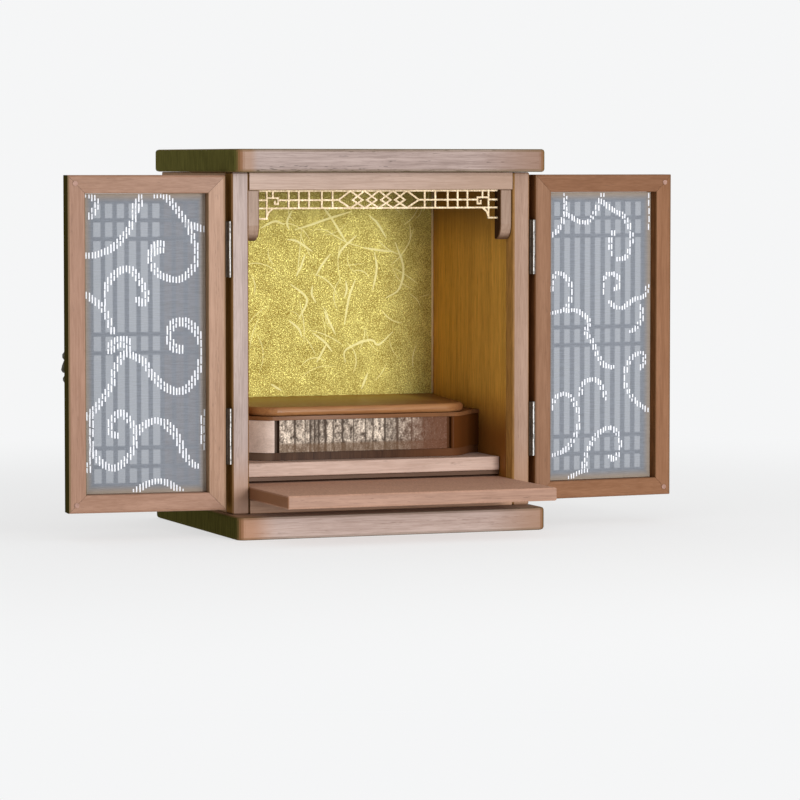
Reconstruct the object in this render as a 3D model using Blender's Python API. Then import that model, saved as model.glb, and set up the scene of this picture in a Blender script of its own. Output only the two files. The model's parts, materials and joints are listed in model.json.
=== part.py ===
# Household altar cabinet with two lattice doors and a board that draws out.
# Metres. X runs across the front, -Y is the front, Z is up from the floor.
import math

import bmesh
import bpy
from mathutils import Matrix, Vector

# Driving sizes.
CABINET_WIDTH = 0.360
CABINET_DEPTH = 0.291
CABINET_HEIGHT = 0.420
BOARD_THICK = 0.025
BOARD_CORNER = 0.010
BOARD_EDGE = 0.003
FRONT_OVERHANG = 0.035
BACK_INSET = 0.003
GAP = 0.0003
ARRIS = 0.0008
SKIN_ARRIS = 0.0003
POST_ARRIS = 0.0015

# Posts, rails and walls.
OUTER_HALF = 0.1735
OPENING_HALF = 0.1543
POST_DEPTH = 0.022
LINTEL_HEIGHT = 0.0193
LINTEL_DEPTH = 0.018
RAIL_TOP = 0.0403
LINING_THICK = 0.0015
BACK_THICK = 0.006
INNER_DEPTH = 0.245
GOLD_THICK = 0.0012

# Shelf, dais and slide board.
SHELF_SETBACK = 0.038
SHELF_BOTTOM = 0.0617
SHELF_THICK = 0.0153
APRON_SETBACK = 0.002
APRON_THICK = 0.004
APRON_LIFT = 0.0022
PLINTH_HEIGHT = 0.0085
PLINTH_INSET = 0.002
DAIS_SETBACK = 0.060
DAIS_WING = 0.102
DAIS_LEVEL = 0.107
DAIS_SWEEP_STEPS = 10
DAIS_BODY_HEIGHT = 0.0355
MOULDING_REACH = 0.0014
MOULDING_THICK = 0.0043
DAIS_TOP_THICK = 0.0101
DAIS_TOP_LEVEL = 0.098
DAIS_TOP_CORNER = (0.030, 0.0345)
DAIS_TOP_TURN = 80.0
DAIS_NOSE = 0.0022
DAIS_ROUND = 0.0042
PANEL_HALF = 0.0990
PANEL_INSET = 0.0016
SLOT_WIDTH = 0.0060
SLOT_DEPTH = 0.006
SLIDE_THICK = 0.0142
SLIDE_HALF = 0.1540
SLIDE_LENGTH = 0.225
SLIDE_DRAWN = 0.126
RUNNER_WIDTH = 0.016

# Doors. The reach is measured from the hinge pin.
PIN_FROM_POST = 0.0035
PIN_FORWARD = 0.0012
DOOR_START = 0.0036
DOOR_END = 0.1766
DOOR_BOTTOM = 0.0305
DOOR_TOP = 0.392
DOOR_THICK = 0.0240
FRAME_WIDTH = 0.0195
FRAME_ROUND = 0.0024
OPEN_ANGLE = 185.0
GAUZE_FROM_FACE = 0.0125
GAUZE_THICK = 0.0008
LATTICE_FROM_FACE = 0.0136
LATTICE_THICK = 0.0026
LATTICE_FRAME = 0.0108
LATTICE_BAR = 0.0044
LATTICE_COLUMNS = 9
# Clear heights between the level bars, as shares, from the bottom.
LATTICE_ROWS = (1.0, 1.0, 6.28, 1.0, 6.28, 1.0, 1.0)

# Hinges, bumpers and pulls.
HINGE_HEIGHT = 0.060
HINGE_CENTRES = (0.110, 0.312)
KNUCKLE_RADIUS = 0.0020
LEAF_THICK = 0.0010
LEAF_REACH = 0.014
BUMPER_RADIUS = 0.0027
BUMPER_THICK = 0.0005
BUMPER_INSET = 0.0088
PULL_HEIGHT = 0.040
PULL_WIDTH = 0.0105
PULL_INSET = 0.0055
PULL_CENTRE = 0.1863
PULL_WAIST = 0.55
PULL_PLATE = 0.0022
PULL_LIFT = 0.0115
PULL_STEM = 0.0024
BOSS_RADIUS = 0.0052
BOSS_FROM_TOP = 0.0085
STUD_RADIUS = 0.0046
STUD_FROM_FOOT = 0.0065
# The drop hangs in front of the boss and leans out a little. Pairs of radius and height.
DROP_PROFILE = (
    (0.0, -0.009),
    (0.0038, -0.0082),
    (0.0054, -0.0055),
    (0.0046, -0.001),
    (0.0022, 0.006),
    (0.0, 0.0105),
)
DROP_FORWARD = 0.0035
DROP_LEAN = 12.0

# Openwork under the lintel and its two brackets.
BRACKET_WIDTH = 0.0133
BRACKET_SETBACK = 0.0046
BRACKET_DEPTH = 0.018
BRACKET_FACE = 0.038
BRACKET_DROP = 0.055
BRACKET_TOE = 0.004
RANMA_SETBACK = 0.012
RANMA_THICK = 0.0026
RANMA_BAR = 0.0018
# Distances under the strip's top edge, then distances from its middle.
RANMA_MIDDLE = 0.0109
RANMA_LOWER = 0.0197
RANMA_FOOT = 0.0310
RANMA_UPRIGHTS = (0.0538, 0.0663, 0.0810, 0.0928, 0.1044)
CORNER_POST = 0.1295
BRACE_LEAN = 0.0022
BRACE_REACH = 0.0070
BRACE_RISE = 0.0072
FRET_BAR = 0.0085
FRET_TAIL = 0.0152
FRET_INNER = 0.1164
FRET_STEM = 0.1225
FRET_HOOK = 0.0038
CHEVRONS = 4
CHEVRON_PITCH = 0.0165
CHEVRON_RUN = 0.0140

# Places worked out from the driving sizes.
frontY = -CABINET_DEPTH / 2
backY = CABINET_DEPTH / 2
postY = frontY + FRONT_OVERHANG
innerBackY = postY + INNER_DEPTH
roomTop = CABINET_HEIGHT - BOARD_THICK
lintelBottom = roomTop - LINTEL_HEIGHT
shelfTop = SHELF_BOTTOM + SHELF_THICK
daisBottom = shelfTop + GAP + PLINTH_HEIGHT
daisBodyTop = daisBottom + GAP + DAIS_BODY_HEIGHT
pinX = OUTER_HALF + PIN_FROM_POST
pinY = postY - PIN_FORWARD
wallInner = OPENING_HALF - GAP


def clear_scene():
    for thing in list(bpy.data.objects):
        bpy.data.objects.remove(thing, do_unlink=True)
    for mesh in list(bpy.data.meshes):
        bpy.data.meshes.remove(mesh)


def material(name, colour, roughness, metallic=0.0):
    made = bpy.data.materials.new(name)
    made.use_nodes = True
    shader = made.node_tree.nodes["Principled BSDF"]
    shader.inputs["Base Color"].default_value = (*colour, 1.0)
    shader.inputs["Roughness"].default_value = roughness
    shader.inputs["Metallic"].default_value = metallic
    made.diffuse_color = (*colour, 1.0)
    return made


def object_from(name, shape, surface, parent=None, origin=(0.0, 0.0, 0.0)):
    bmesh.ops.recalc_face_normals(shape, faces=shape.faces)
    bmesh.ops.translate(shape, verts=shape.verts, vec=-Vector(origin))
    mesh = bpy.data.meshes.new(name)
    shape.to_mesh(mesh)
    shape.free()
    mesh.materials.append(surface)
    made = bpy.data.objects.new(name, mesh)
    bpy.context.scene.collection.objects.link(made)
    made.location = origin
    made.parent = parent
    return made


def soften(thing, width, segments=1):
    bevel = thing.modifiers.new("arris", "BEVEL")
    bevel.width = width
    bevel.segments = segments
    bevel.limit_method = "ANGLE"
    bevel.angle_limit = math.radians(35)
    return thing


def box_shape(low, high):
    shape = bmesh.new()
    bmesh.ops.create_cube(shape, size=1.0)
    size = Vector(high) - Vector(low)
    bmesh.ops.scale(shape, verts=shape.verts, vec=size)
    bmesh.ops.translate(shape, verts=shape.verts, vec=(Vector(low) + Vector(high)) / 2)
    return shape


def block(name, low, high, surface, parent=None, round_to=ARRIS, segments=1):
    centre = (Vector(low) + Vector(high)) / 2
    made = object_from(name, box_shape(low, high), surface, parent, centre)
    return soften(made, round_to, segments)


def prism_shape(outline, low, high, axis="Z"):
    # Extrudes a closed outline of (a, b) pairs along the named axis.
    order = {
        "X": lambda a, b, c: (c, a, b),
        "Y": lambda a, b, c: (a, c, b),
        "Z": lambda a, b, c: (a, b, c),
    }
    shape = bmesh.new()
    bottom = [shape.verts.new(order[axis](a, b, low)) for a, b in outline]
    face = shape.faces.new(bottom)
    grown = bmesh.ops.extrude_face_region(shape, geom=[face])
    moved = [part for part in grown["geom"] if isinstance(part, bmesh.types.BMVert)]
    bmesh.ops.translate(shape, verts=moved, vec=Vector(order[axis](0.0, 0.0, high - low)))
    return shape


def arc(centre, radius, start, end, steps):
    # Points on an arc, with angles in degrees from the first axis.
    points = []
    for step in range(steps + 1):
        angle = math.radians(start + (end - start) * step / steps)
        points.append((centre[0] + radius * math.cos(angle), centre[1] + radius * math.sin(angle)))
    return points


def hidden_operand(name, shape, surface, parent=None):
    made = object_from(name, shape, surface, parent)
    made.hide_render = True
    made.display_type = "WIRE"
    return made


def combine(target, operand, operation):
    boolean = target.modifiers.new(operand.name, "BOOLEAN")
    boolean.object = operand
    boolean.operation = operation
    boolean.solver = "EXACT"
    return target


def bevel_loops(shape, width, segments, wanted):
    # Rounds the level edges whose middle passes the test.
    edges = []
    for edge in shape.edges:
        first, second = (vert.co for vert in edge.verts)
        if abs(first.z - second.z) < 1e-6 and wanted((first + second) / 2):
            edges.append(edge)
    bmesh.ops.bevel(shape, geom=edges, offset=width, segments=segments, profile=0.5, affect="EDGES")


def shade_round(thing, angle=35.0):
    thing.data.shade_smooth()
    thing.data.set_sharp_from_angle(angle=math.radians(angle))
    return thing


# Top and base boards, with rounded front corners and soft edges.
def wide_board(name, low, high, surface):
    half = CABINET_WIDTH / 2
    inner = half - BOARD_CORNER
    turnY = frontY + BOARD_CORNER
    outline = [(half, backY), (-half, backY)]
    outline += arc((-inner, turnY), BOARD_CORNER, 180, 270, 6)
    outline += arc((inner, turnY), BOARD_CORNER, 270, 360, 6)
    shape = prism_shape(outline, low, high)
    bevel_loops(shape, BOARD_EDGE, 2, lambda middle: True)
    return shade_round(object_from(name, shape, surface))


def build_carcass(wood, inner_wood, gold):
    wide_board("base_board", 0.0, BOARD_THICK, wood)
    wide_board("top_board", roomTop, CABINET_HEIGHT, wood)
    low = BOARD_THICK + GAP
    high = roomTop - GAP
    panelBackY = backY - BACK_INSET
    for name, side in (("left", -1), ("right", 1)):
        xs = sorted((side * OPENING_HALF, side * OUTER_HALF))
        block(f"post_{name}", (xs[0], postY, low), (xs[1], postY + POST_DEPTH, high), wood, None, POST_ARRIS)
        wall = sorted((side * (OPENING_HALF + LINING_THICK + GAP), side * OUTER_HALF))
        startY = postY + POST_DEPTH + GAP
        block(f"side_panel_{name}", (wall[0], startY, low), (wall[1], panelBackY, high), wood)
        skin = sorted((side * OPENING_HALF, side * (OPENING_HALF + LINING_THICK)))
        block(
            f"side_lining_{name}",
            (skin[0], startY, low),
            (skin[1], innerBackY + GOLD_THICK, high),
            inner_wood,
            None,
            SKIN_ARRIS,
        )
        runner = sorted((side * (wallInner - RUNNER_WIDTH), side * wallInner))
        block(
            f"slide_runner_{name}",
            (runner[0], postY + LINTEL_DEPTH + GAP, low),
            (runner[1], innerBackY - GAP, RAIL_TOP),
            inner_wood,
        )
    block(
        "lintel",
        (-wallInner, postY + GAP, lintelBottom),
        (wallInner, postY + LINTEL_DEPTH, high),
        wood,
    )
    block("bottom_rail", (-wallInner, postY + GAP, low), (wallInner, postY + LINTEL_DEPTH, RAIL_TOP), wood)
    backHalf = OPENING_HALF + LINING_THICK
    backStart = innerBackY + GOLD_THICK + GAP
    block("back_board", (-backHalf, backStart, low), (backHalf, backStart + BACK_THICK, high), wood)
    block(
        "gold_back_panel",
        (-wallInner, innerBackY, low),
        (wallInner, innerBackY + GOLD_THICK, high),
        gold,
        None,
        SKIN_ARRIS,
    )


# The dais stands on the shelf: a plinth and a body whose level front sweeps back to each wall,
# a thin moulding of the same plan, and a nosed top board that narrows towards the front.
def swept_outline(grow):
    front = postY + DAIS_SETBACK - grow
    wing = postY + DAIS_WING - grow
    left = []
    right = []
    for step in range(DAIS_SWEEP_STEPS + 1):
        share = step / DAIS_SWEEP_STEPS
        eased = share * share * (3 - 2 * share)
        reach = DAIS_LEVEL + (wallInner - DAIS_LEVEL) * share
        right.append((reach, front + (wing - front) * eased))
        left.append((-reach, front + (wing - front) * eased))
    back = [(wallInner, innerBackY - GAP), (-wallInner, innerBackY - GAP)]
    return back + list(reversed(left)) + right


def top_outline():
    front = postY + DAIS_SETBACK - DAIS_NOSE
    reach, depth = DAIS_TOP_CORNER
    right = []
    for angle, height in arc((0.0, 0.0), 1.0, 270, 270 + DAIS_TOP_TURN, 10):
        right.append((DAIS_TOP_LEVEL + reach * angle, front + depth * (1.0 + height)))
    left = [(-x, y) for x, y in reversed(right)]
    back = [(wallInner, innerBackY - GAP), (-wallInner, innerBackY - GAP)]
    return back + left + right


def build_dais(wood, gloss, relief, dark):
    plinth = prism_shape(swept_outline(-PLINTH_INSET), shelfTop + GAP, daisBottom)
    object_from("dais_plinth", plinth, wood)
    body = object_from("dais_body", prism_shape(swept_outline(0.0), daisBottom + GAP, daisBodyTop), wood)
    faceY = postY + DAIS_SETBACK
    low = daisBottom
    high = daisBodyTop + GAP
    slotOuter = PANEL_HALF + SLOT_WIDTH
    outside = faceY - SLOT_DEPTH
    recess = box_shape((-PANEL_HALF, outside, low), (PANEL_HALF, faceY + PANEL_INSET + GAP, high))
    combine(body, hidden_operand("cut_panel_recess", recess, dark), "DIFFERENCE")
    for name, side in (("left", -1), ("right", 1)):
        xs = sorted((side * PANEL_HALF, side * slotOuter))
        slot = box_shape((xs[0], outside, low), (xs[1], faceY + SLOT_DEPTH, high))
        combine(body, hidden_operand(f"cut_slot_{name}", slot, dark), "DIFFERENCE")
    block(
        "dais_front_panel",
        (-PANEL_HALF, faceY + GAP, daisBottom + GAP),
        (PANEL_HALF, faceY + PANEL_INSET, daisBodyTop),
        relief,
        None,
        SKIN_ARRIS,
    )
    mouldingLow = daisBodyTop + GAP
    mouldingTop = mouldingLow + MOULDING_THICK
    moulding = prism_shape(swept_outline(MOULDING_REACH), mouldingLow, mouldingTop)
    object_from("dais_moulding", moulding, gloss)
    top = prism_shape(top_outline(), mouldingTop + GAP, mouldingTop + GAP + DAIS_TOP_THICK)
    bevel_loops(top, DAIS_ROUND, 4, lambda middle: middle.y < innerBackY - 2 * GAP)
    shade_round(object_from("dais_top", top, gloss))


def build_shelf(wood):
    block(
        "shelf",
        (-wallInner, postY + SHELF_SETBACK, SHELF_BOTTOM),
        (wallInner, innerBackY - GAP, shelfTop),
        wood,
        None,
        0.0012,
        2,
    )
    apronY = postY + SHELF_SETBACK + APRON_SETBACK
    apronLow = RAIL_TOP + GAP + SLIDE_THICK + APRON_LIFT
    block(
        "shelf_apron",
        (-wallInner, apronY, apronLow),
        (wallInner, apronY + APRON_THICK, SHELF_BOTTOM - GAP),
        wood,
        None,
        SKIN_ARRIS,
    )


def build_slide(wood):
    # The empty stands on the line that the board slides along.
    guide = bpy.data.objects.new("slide_axis", None)
    bpy.context.scene.collection.objects.link(guide)
    guide.location = (0.0, postY, RAIL_TOP + GAP)
    low = (-SLIDE_HALF, -SLIDE_DRAWN, 0.0)
    high = (SLIDE_HALF, SLIDE_LENGTH - SLIDE_DRAWN, SLIDE_THICK)
    block("slide_board", low, high, wood, guide, 0.0018, 2)


# One member of a door's frame: a bar with mitred ends. Its outer long edges are rounded.
def frame_member(name, start, end, across, inward, surface, parent):
    along = (end - start).normalized()
    length = (end - start).length
    corner = FRAME_ROUND
    thick = DOOR_THICK
    profile = arc((corner, corner), corner, 270, 180, 2)
    profile += arc((corner, thick - corner), corner, 180, 90, 2)
    profile += [(FRAME_WIDTH - ARRIS, thick), (FRAME_WIDTH, thick - ARRIS)]
    profile += [(FRAME_WIDTH, ARRIS), (FRAME_WIDTH - ARRIS, 0.0)]
    shape = bmesh.new()
    ends = []
    for cut in (0, 1):
        ring = []
        for a, b in profile:
            reach = a + GAP / 2 if cut == 0 else length - a - GAP / 2
            ring.append(shape.verts.new(start + along * reach + across * a + inward * b))
        ends.append(ring)
    shape.faces.new(ends[0])
    shape.faces.new(list(reversed(ends[1])))
    count = len(profile)
    for index in range(count):
        after = (index + 1) % count
        shape.faces.new((ends[0][index], ends[1][index], ends[1][after], ends[0][after]))
    return shade_round(object_from(name, shape, surface, parent), 50)


# A flat grille: the cells of a grid, less its windows, given thickness.
def grille_shape(columns, rows, y_low, y_high):
    shape = bmesh.new()
    grid = [[shape.verts.new((x, y_low, z)) for x in columns] for z in rows]
    faces = []
    for row in range(len(rows) - 1):
        for column in range(len(columns) - 1):
            if row % 2 == 1 and column % 2 == 1:
                continue
            below = grid[row]
            above = grid[row + 1]
            corners = (below[column], below[column + 1], above[column + 1], above[column])
            faces.append(shape.faces.new(corners))
    grown = bmesh.ops.extrude_face_region(shape, geom=faces)
    moved = [part for part in grown["geom"] if isinstance(part, bmesh.types.BMVert)]
    bmesh.ops.translate(shape, verts=moved, vec=(0.0, y_high - y_low, 0.0))
    return shape


def steps_between(low, high, frame, bar, shares):
    # Edge positions: frame, window, bar, window, and so on up to the far frame.
    clear = high - low - 2 * frame - bar * (len(shares) - 1)
    places = [low, low + frame]
    for index, share in enumerate(shares):
        places.append(places[-1] + clear * share / sum(shares))
        if index < len(shares) - 1:
            places.append(places[-1] + bar)
    places.append(high)
    return places


def hinge_leaf(name, side, direction, centre, surface, parent, pin):
    # direction is +1 for the leaf on the door and -1 for the leaf on the post.
    # Both are drawn with the door open flat, running back from the pin.
    x_sign = side * direction
    near = KNUCKLE_RADIUS + GAP
    xs = sorted((x_sign * near, x_sign * (near + LEAF_THICK)))
    half = HINGE_HEIGHT / 2
    low = (pin.x + xs[0], pin.y + GAP, centre - half)
    high = (pin.x + xs[1], pin.y + LEAF_REACH, centre + half)
    leaf = object_from(name, box_shape(low, high), surface, parent)
    third = HINGE_HEIGHT / 6
    stretches = [(-third + GAP / 2, third - GAP / 2)]
    if direction < 0:
        stretches = [(-half, -third - GAP / 2), (third + GAP / 2, half)]
    outline = arc((0.0, 0.0), KNUCKLE_RADIUS, 90, 360, 9)
    outline += [(near + LEAF_THICK / 2, 2 * GAP), (near + LEAF_THICK / 2, KNUCKLE_RADIUS)]
    outline = [(pin.x + x_sign * a, pin.y + b) for a, b in outline]
    for index, (bottom, top) in enumerate(stretches):
        shape = prism_shape(outline, centre + bottom, centre + top)
        bmesh.ops.recalc_face_normals(shape, faces=shape.faces)
        knuckle = hidden_operand(f"{name}_knuckle_{index}", shape, surface, parent)
        combine(leaf, knuckle, "UNION")
    return leaf


def turned_shape(profile, steps=12):
    # Spins a list of (radius, height) pairs about Z. The first and last radius are zero.
    shape = bmesh.new()
    rings = []
    for radius, height in profile:
        if radius == 0.0:
            rings.append([shape.verts.new((0.0, 0.0, height))])
            continue
        ring = []
        for step in range(steps):
            angle = 2 * math.pi * step / steps
            ring.append(shape.verts.new((radius * math.cos(angle), radius * math.sin(angle), height)))
        rings.append(ring)
    for lower, upper in zip(rings, rings[1:]):
        for step in range(steps):
            after = (step + 1) % steps
            if len(lower) == 1:
                shape.faces.new((lower[0], upper[after], upper[step]))
            elif len(upper) == 1:
                shape.faces.new((lower[step], lower[after], upper[0]))
            else:
                shape.faces.new((lower[step], lower[after], upper[after], upper[step]))
    return shape


def ball_profile(radius, steps=5):
    points = []
    for step in range(steps + 1):
        angle = math.pi * step / steps
        points.append((round(radius * math.sin(angle), 9), -radius * math.cos(angle)))
    return points


# A cast pull: a plate with waisted sides, an upper boss, a drop and a lower stud.
def build_pull(name, side, surface, parent):
    half = PULL_HEIGHT / 2
    wide = PULL_WIDTH / 2
    outline = arc((0.0, half - wide), wide, 0, 180, 6)
    outline += [(-wide * PULL_WAIST, 0.0)]
    outline += arc((0.0, -half + wide), wide, 180, 360, 6)
    outline += [(wide * PULL_WAIST, 0.0)]
    plateY = DOOR_THICK + GAP
    centreX = side * (DOOR_END - PULL_INSET)
    placed = [(centreX + a, PULL_CENTRE + b) for a, b in outline]
    pull = object_from(name, prism_shape(placed, plateY, plateY + PULL_PLATE, "Y"), surface, parent)
    lumpY = plateY + PULL_LIFT
    lumps = (("boss", BOSS_RADIUS, half - BOSS_FROM_TOP), ("stud", STUD_RADIUS, STUD_FROM_FOOT - half))
    for part, radius, height in lumps:
        ball = turned_shape(ball_profile(radius))
        bmesh.ops.translate(ball, verts=ball.verts, vec=(centreX, lumpY, PULL_CENTRE + height))
        combine(pull, hidden_operand(f"{name}_{part}", ball, surface, parent), "UNION")
        stem = turned_shape([(0.0, 0.0), (PULL_STEM, 0.0), (PULL_STEM, PULL_LIFT), (0.0, PULL_LIFT)])
        bmesh.ops.rotate(stem, verts=stem.verts, matrix=Matrix.Rotation(math.radians(-90), 3, "X"))
        stemY = plateY + PULL_PLATE / 3
        bmesh.ops.translate(stem, verts=stem.verts, vec=(centreX, stemY, PULL_CENTRE + height))
        combine(pull, hidden_operand(f"{name}_{part}_stem", stem, surface, parent), "UNION")
    drop = turned_shape(DROP_PROFILE)
    bmesh.ops.rotate(drop, verts=drop.verts, matrix=Matrix.Rotation(math.radians(DROP_LEAN), 3, "X"))
    dropZ = PULL_CENTRE + DROP_FORWARD / 2
    bmesh.ops.translate(drop, verts=drop.verts, vec=(centreX, lumpY + DROP_FORWARD, dropZ))
    combine(pull, hidden_operand(f"{name}_drop", drop, surface, parent), "UNION")
    return shade_round(pull, 50)


# A door is drawn open flat, with X running away from its pin and +Y through its thickness,
# under an empty on the pin that turns it to its rest angle.
def build_door(name, side, surfaces):
    pin = bpy.data.objects.new(f"door_{name}_pin", None)
    bpy.context.scene.collection.objects.link(pin)
    pin.location = (side * pinX, pinY, 0.0)
    pin.rotation_euler = (0.0, 0.0, side * math.radians(OPEN_ANGLE - 180.0))
    out = Vector((side, 0.0, 0.0))
    up = Vector((0.0, 0.0, 1.0))
    back = Vector((0.0, 1.0, 0.0))
    corners = {
        "hinge_bottom": out * DOOR_START + up * DOOR_BOTTOM,
        "free_bottom": out * DOOR_END + up * DOOR_BOTTOM,
        "free_top": out * DOOR_END + up * DOOR_TOP,
        "hinge_top": out * DOOR_START + up * DOOR_TOP,
    }
    members = (
        ("bottom_rail", "hinge_bottom", "free_bottom", up),
        ("free_stile", "free_bottom", "free_top", -out),
        ("top_rail", "free_top", "hinge_top", -up),
        ("hinge_stile", "hinge_top", "hinge_bottom", out),
    )
    for member, start, end, across in members:
        label = f"door_{name}_{member}"
        frame_member(label, corners[start], corners[end], across, back, surfaces["wood"], pin)
    near = DOOR_START + FRAME_WIDTH + GAP
    far = DOOR_END - FRAME_WIDTH - GAP
    low = DOOR_BOTTOM + FRAME_WIDTH + GAP
    high = DOOR_TOP - FRAME_WIDTH - GAP
    xs = sorted((side * near, side * far))
    gauzeEnd = GAUZE_FROM_FACE + GAUZE_THICK
    gauze = box_shape((xs[0], GAUZE_FROM_FACE, low), (xs[1], gauzeEnd, high))
    object_from(f"door_{name}_gauze", gauze, surfaces["gauze"], pin)
    columns = steps_between(xs[0], xs[1], LATTICE_FRAME, LATTICE_BAR, (1.0,) * LATTICE_COLUMNS)
    rows = steps_between(low, high, LATTICE_FRAME, LATTICE_BAR, LATTICE_ROWS)
    grille = grille_shape(columns, rows, LATTICE_FROM_FACE, LATTICE_FROM_FACE + LATTICE_THICK)
    object_from(f"door_{name}_lattice", grille, surfaces["lattice"], pin)
    bumperX = side * (DOOR_END - BUMPER_INSET)
    for place, height in (("top", DOOR_TOP - BUMPER_INSET), ("bottom", DOOR_BOTTOM + BUMPER_INSET)):
        disc = prism_shape(arc((bumperX, height), BUMPER_RADIUS, 0, 330, 11), -GAP - BUMPER_THICK, -GAP, "Y")
        object_from(f"door_{name}_bumper_{place}", disc, surfaces["bumper"], pin)
    steel = surfaces["steel"]
    onPost = Vector((side * pinX, pinY, 0.0))
    for place, centre in zip(("lower", "upper"), HINGE_CENTRES):
        hinge_leaf(f"door_{name}_leaf_{place}", side, 1, centre, steel, pin, Vector((0.0, 0.0, 0.0)))
        hinge_leaf(f"post_{name}_leaf_{place}", side, -1, centre, steel, None, onPost)
    build_pull(f"door_{name}_pull", side, surfaces["antique"], pin)


def build_brackets(wood):
    # A bracket hangs under the lintel against the wall. Its front drops, then sweeps back.
    front = postY + BRACKET_SETBACK
    back = front + BRACKET_DEPTH
    top = lintelBottom - GAP
    turn = top - BRACKET_FACE
    foot = top - BRACKET_DROP
    outline = [(back, foot), (back, top), (front, top), (front, turn)]
    sweep = 5
    for step in range(1, sweep + 1):
        angle = math.pi / 2 * step / sweep
        y = front + (BRACKET_DEPTH - BRACKET_TOE) * (1 - math.cos(angle))
        outline.append((y, turn + (foot - turn) * math.sin(angle)))
    for name, side in (("left", -1), ("right", 1)):
        xs = sorted((side * wallInner, side * (wallInner - BRACKET_WIDTH)))
        shape = prism_shape(outline, xs[0], xs[1], "X")
        shade_round(soften(object_from(f"bracket_{name}", shape, wood), 0.0009), 40)


# A flat strip of the given width along a bent line of (x, z) points, with mitred bends.
def strip_shape(points, width, thick, y):
    line = [Vector(point) for point in points]
    left = []
    right = []
    for index, point in enumerate(line):
        before = (point - line[index - 1]).normalized() if index > 0 else None
        after = (line[index + 1] - point).normalized() if index < len(line) - 1 else None
        along = ((before or after) + (after or before)).normalized()
        across = Vector((-along.y, along.x))
        edge = before or after
        reach = width / 2 / abs(across.dot(Vector((-edge.y, edge.x))))
        left.append(point + across * reach)
        right.append(point - across * reach)
    return prism_shape(left + list(reversed(right)), y - thick / 2, y + thick / 2, "Y")


# The openwork strip: rails, uprights, chevrons that cross in the middle, and a hooked fret and
# a dropped corner at each end. Bars that cross differ in thickness, as lapped bars do.
def ranma_strips(half, top):
    upper = top - RANMA_BAR / 2
    middle = top - RANMA_MIDDLE
    lower = top - RANMA_LOWER
    foot = top - RANMA_FOOT
    bar = top - FRET_BAR
    tail = top - FRET_TAIL
    rail = RANMA_THICK
    upright = 0.85 * RANMA_THICK
    bent = 0.7 * RANMA_THICK
    crossed = 0.55 * RANMA_THICK
    tip = CHEVRON_PITCH * CHEVRONS / 2 + CHEVRON_RUN
    strips = [([(-half, upper), (half, upper)], rail), ([(-half, lower), (half, lower)], rail)]
    for side in (-1, 1):
        post = side * CORNER_POST
        inner = side * FRET_INNER
        hook = inner + side * FRET_HOOK
        stem = side * FRET_STEM
        strips.append(([(side * tip, middle), (inner, middle)], rail))
        strips.append(([(post, middle), (side * half, middle)], rail))
        strips.append(([(post, upper), (post, foot)], upright))
        strips.append(([(post - side * RANMA_BAR / 2, foot), (side * half, foot)], rail))
        fret = [(post, bar), (inner, bar), (inner, tail), (hook, tail), (hook, tail + FRET_HOOK)]
        strips.append((fret, bent))
        strips.append(([(stem, upper), (stem, bar)], crossed))
        brace = [(post, foot + RANMA_BAR), (post - side * BRACE_LEAN, foot + BRACE_RISE)]
        brace.append((post - side * BRACE_REACH, lower))
        strips.append((brace, bent))
        for place in RANMA_UPRIGHTS:
            strips.append(([(side * place, upper), (side * place, lower)], upright))
    for index in range(CHEVRONS + 1):
        node = CHEVRON_PITCH * (index - CHEVRONS / 2)
        for run, thick in ((-CHEVRON_RUN, bent), (CHEVRON_RUN, crossed)):
            strips.append(([(node, upper), (node + run, middle), (node, lower)], thick))
    return strips


def build_ranma(surface):
    half = wallInner - BRACKET_WIDTH - GAP
    centreY = postY + RANMA_SETBACK + RANMA_THICK / 2
    target = None
    for index, (points, thick) in enumerate(ranma_strips(half, lintelBottom - GAP)):
        shape = strip_shape(points, RANMA_BAR, thick, centreY)
        if target is None:
            target = object_from("ranma", shape, surface)
            continue
        combine(target, hidden_operand(f"ranma_strip_{index}", shape, surface), "UNION")
    return target


def main():
    clear_scene()
    wood = material("walnut", (0.36, 0.21, 0.15), 0.45)
    inner_wood = material("inner_walnut", (0.27, 0.15, 0.06), 0.4)
    gloss = material("dais_walnut", (0.28, 0.13, 0.07), 0.25)
    gold = material("gold_paper", (0.62, 0.50, 0.12), 0.45, 0.3)
    relief = material("silver_relief", (0.48, 0.42, 0.34), 0.5, 0.2)
    dark = material("dark_recess", (0.03, 0.02, 0.015), 0.7)
    pale = material("pale_gilt", (0.70, 0.60, 0.38), 0.4, 0.4)
    surfaces = {
        "wood": wood,
        "gauze": material("grey_gauze", (0.42, 0.45, 0.50), 0.85),
        "lattice": material("lattice_wood", (0.16, 0.13, 0.12), 0.6),
        "bumper": material("bumper_metal", (0.55, 0.52, 0.50), 0.4, 0.6),
        "steel": material("hinge_steel", (0.72, 0.68, 0.64), 0.3, 1.0),
        "antique": material("antique_metal", (0.09, 0.09, 0.07), 0.5, 0.8),
    }
    build_carcass(wood, inner_wood, gold)
    build_shelf(wood)
    build_dais(wood, gloss, relief, dark)
    build_slide(wood)
    build_brackets(wood)
    build_ranma(pale)
    build_door("left", -1, surfaces)
    build_door("right", 1, surfaces)


main()
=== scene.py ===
# Household altar cabinet: wood, cloth, scrolls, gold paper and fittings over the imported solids.
import json
import math
import random

import bmesh
import bpy
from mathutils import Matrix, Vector, noise


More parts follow.
